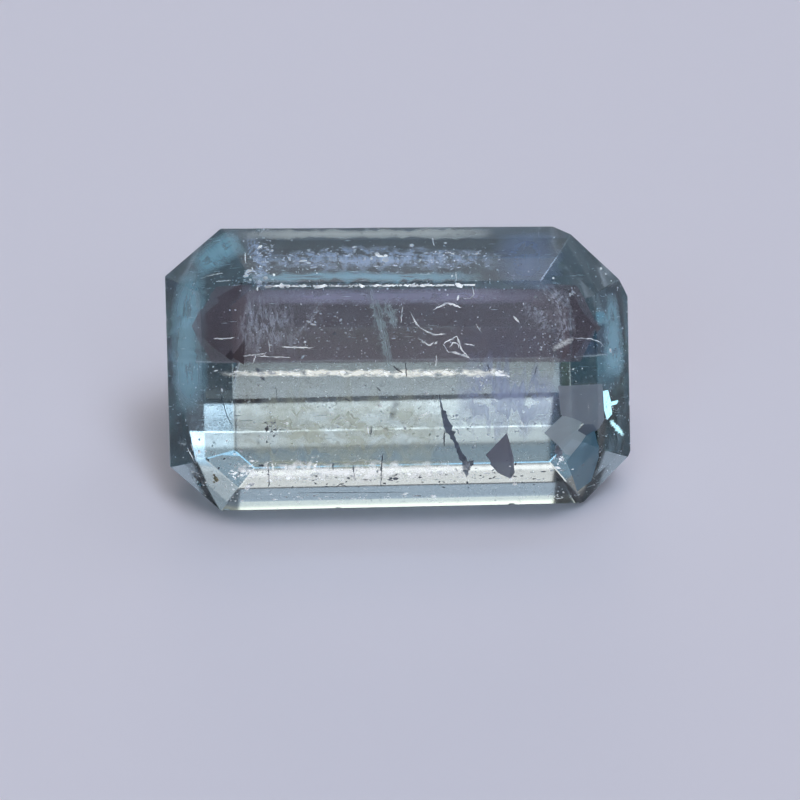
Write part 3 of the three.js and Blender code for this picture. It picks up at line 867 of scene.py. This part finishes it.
plane("cyan_sliver", CYAN_SLIVER, 0.15, CYAN_PAINTED_HIGHLIGHT)
sheet("middle_smear", MIDDLE_SMEAR_SPINE, (3, 4, 3), 0.4, SMEAR_VEIL, 517)


# Surface: the back edge of the table is worn to a row of nicks, made bright by a painted highlight

EDGE_LEFT_PX = (267, 286.3)
EDGE_RIGHT_PX = (474, 284.9)
EDGE_NICKS = 260
EDGE_WANDER = (0.0, 0.35)  # pixels
EDGE_DEPTHS = (0.02, 0.08)  # millimetres


def worn_edge_painted_highlight():
    """Tiny flakes scattered along the table's back edge, for its wear. Their white glow is a painted
    highlight.
    """
    random = np.random.default_rng(601)
    share = random.random(EDGE_NICKS)[:, None]
    pixels = np.array(EDGE_LEFT_PX) * (1 - share) + np.array(EDGE_RIGHT_PX) * share
    pixels = pixels + random.normal(size=(EDGE_NICKS, 2)) * np.array(EDGE_WANDER)
    places = below_polish(pixels, random.uniform(*EDGE_DEPTHS, EDGE_NICKS))
    flakes("worn_table_edge_painted_highlight", places, 0.8, WHITE_AND_PAINTED_GLINT, 602, along=2.2, thickness=0.5)


worn_edge_painted_highlight()


# Setting

FLOOR_REACH = 0.6  # from the middle to a side
FLOOR_LEVEL = -0.02 * MM  # a hair below the stone, because polish and paper touch only at points


def make_floor():
    """A wide sheet of paper."""
    turns = ((-1, -1), (1, -1), (1, 1), (-1, 1))
    corners = [(x * FLOOR_REACH, y * FLOOR_REACH, FLOOR_LEVEL) for x, y in turns]
    mesh = bpy.data.meshes.new("floor")
    mesh.from_pydata(corners, [], [(0, 1, 2, 3)])
    mesh.materials.append(paper_material())
    floor = bpy.data.objects.new("floor", mesh)
    bpy.context.scene.collection.objects.link(floor)


make_floor()

# Soft lamps of the studio. Azimuth 0 is to the right and 90 is behind the stone. A lamp shines as
# colour * cos(angle from its middle) ^ tightness, which is even, so the same light comes from the
# opposite side, below the floor. A wide lamp is stretched along the stone's length.
STRIP = 284  # tightness of a narrow strip of light
WIDE_SQUEEZE = 0.3  # a wide lamp sees a ray's share along the stone made this much smaller

# azimuth, elevation, tightness, wide, colour
STUDIO_LAMPS = (
    (90, 4, STRIP, True, (2.6, 2.6, 2.6)),
    (90, 20, STRIP, True, (3.2, 2.8, 2.3)),
    (90, 28, STRIP, True, (0.6, 0.65, 0.8)),
    (90, 45, STRIP, True, (2.4, 2.0, 1.9)),
    (90, 60, STRIP, True, (1.6, 2.4, 3.2)),
    (90, 76, STRIP, True, (2.2, 2.0, 2.0)),
    (90, 84, STRIP, True, (5.8, 5.4, 5.4)),
    (270, 40, STRIP, True, (0.9, 0.8, 0.85)),
    (270, 30, 120, True, (0.37, 0.26, 0.29)),
    (0, 70, 60, False, (7.3, 8.6, 10.5)),
    (45, 45, 40, False, (1.7, 1.9, 2.2)),
    (315, 45, 40, False, (0.9, 1.1, 1.4)),
    (225, 45, 40, False, (0.5, 1.0, 1.3)),
)
BOUNCES = 10  # how often a ray may turn at glass and mirrors
CLEAR_BOUNCES = 12  # how often it may pass through a veil's clear parts
MATT_BOUNCES = 2


def make_studio():
    """The world's light is the sum of the lamps, each worked out from the direction of the ray."""
    world = bpy.data.worlds.new("studio")
    world.use_nodes = True
    nodes, links = world.node_tree.nodes, world.node_tree.links
    nodes.clear()
    output = nodes.new("ShaderNodeOutputWorld")
    background = nodes.new("ShaderNodeBackground")
    links.new(background.outputs["Background"], output.inputs["Surface"])
    direction = nodes.new("ShaderNodeTexCoord")
    squeeze = nodes.new("ShaderNodeVectorMath")
    squeeze.operation = "MULTIPLY"
    squeeze.inputs[1].default_value = (WIDE_SQUEEZE, 1.0, 1.0)
    links.new(direction.outputs["Generated"], squeeze.inputs[0])
    even = nodes.new("ShaderNodeVectorMath")
    even.operation = "NORMALIZE"
    links.new(squeeze.outputs["Vector"], even.inputs[0])
    true_way, squeezed_way = direction.outputs["Generated"], even.outputs["Vector"]
    total = None
    for azimuth, elevation, tightness, wide, colour in STUDIO_LAMPS:
        turn, rise = math.radians(azimuth), math.radians(elevation)
        middle = (math.cos(rise) * math.cos(turn), math.cos(rise) * math.sin(turn), math.sin(rise))
        cosine = nodes.new("ShaderNodeVectorMath")
        cosine.operation = "DOT_PRODUCT"
        cosine.inputs[1].default_value = middle
        links.new(squeezed_way if wide else true_way, cosine.inputs[0])
        power = nodes.new("ShaderNodeMath")
        power.operation = "POWER"
        power.inputs[1].default_value = tightness
        links.new(cosine.outputs["Value"], power.inputs[0])
        shine = nodes.new("ShaderNodeVectorMath")
        shine.operation = "SCALE"
        shine.inputs[0].default_value = colour
        links.new(power.outputs["Value"], shine.inputs["Scale"])
        if total is None:
            total = shine
            continue
        add = nodes.new("ShaderNodeVectorMath")
        add.operation = "ADD"
        links.new(total.outputs["Vector"], add.inputs[0])
        links.new(shine.outputs["Vector"], add.inputs[1])
        total = add
    links.new(total.outputs["Vector"], background.inputs["Color"])
    bpy.context.scene.world = world


make_studio()

scene = bpy.context.scene
scene.view_settings.view_transform = "Standard"
scene.cycles.max_bounces = BOUNCES
scene.cycles.transmission_bounces = BOUNCES
scene.cycles.glossy_bounces = BOUNCES
scene.cycles.transparent_max_bounces = CLEAR_BOUNCES
scene.cycles.diffuse_bounces = MATT_BOUNCES
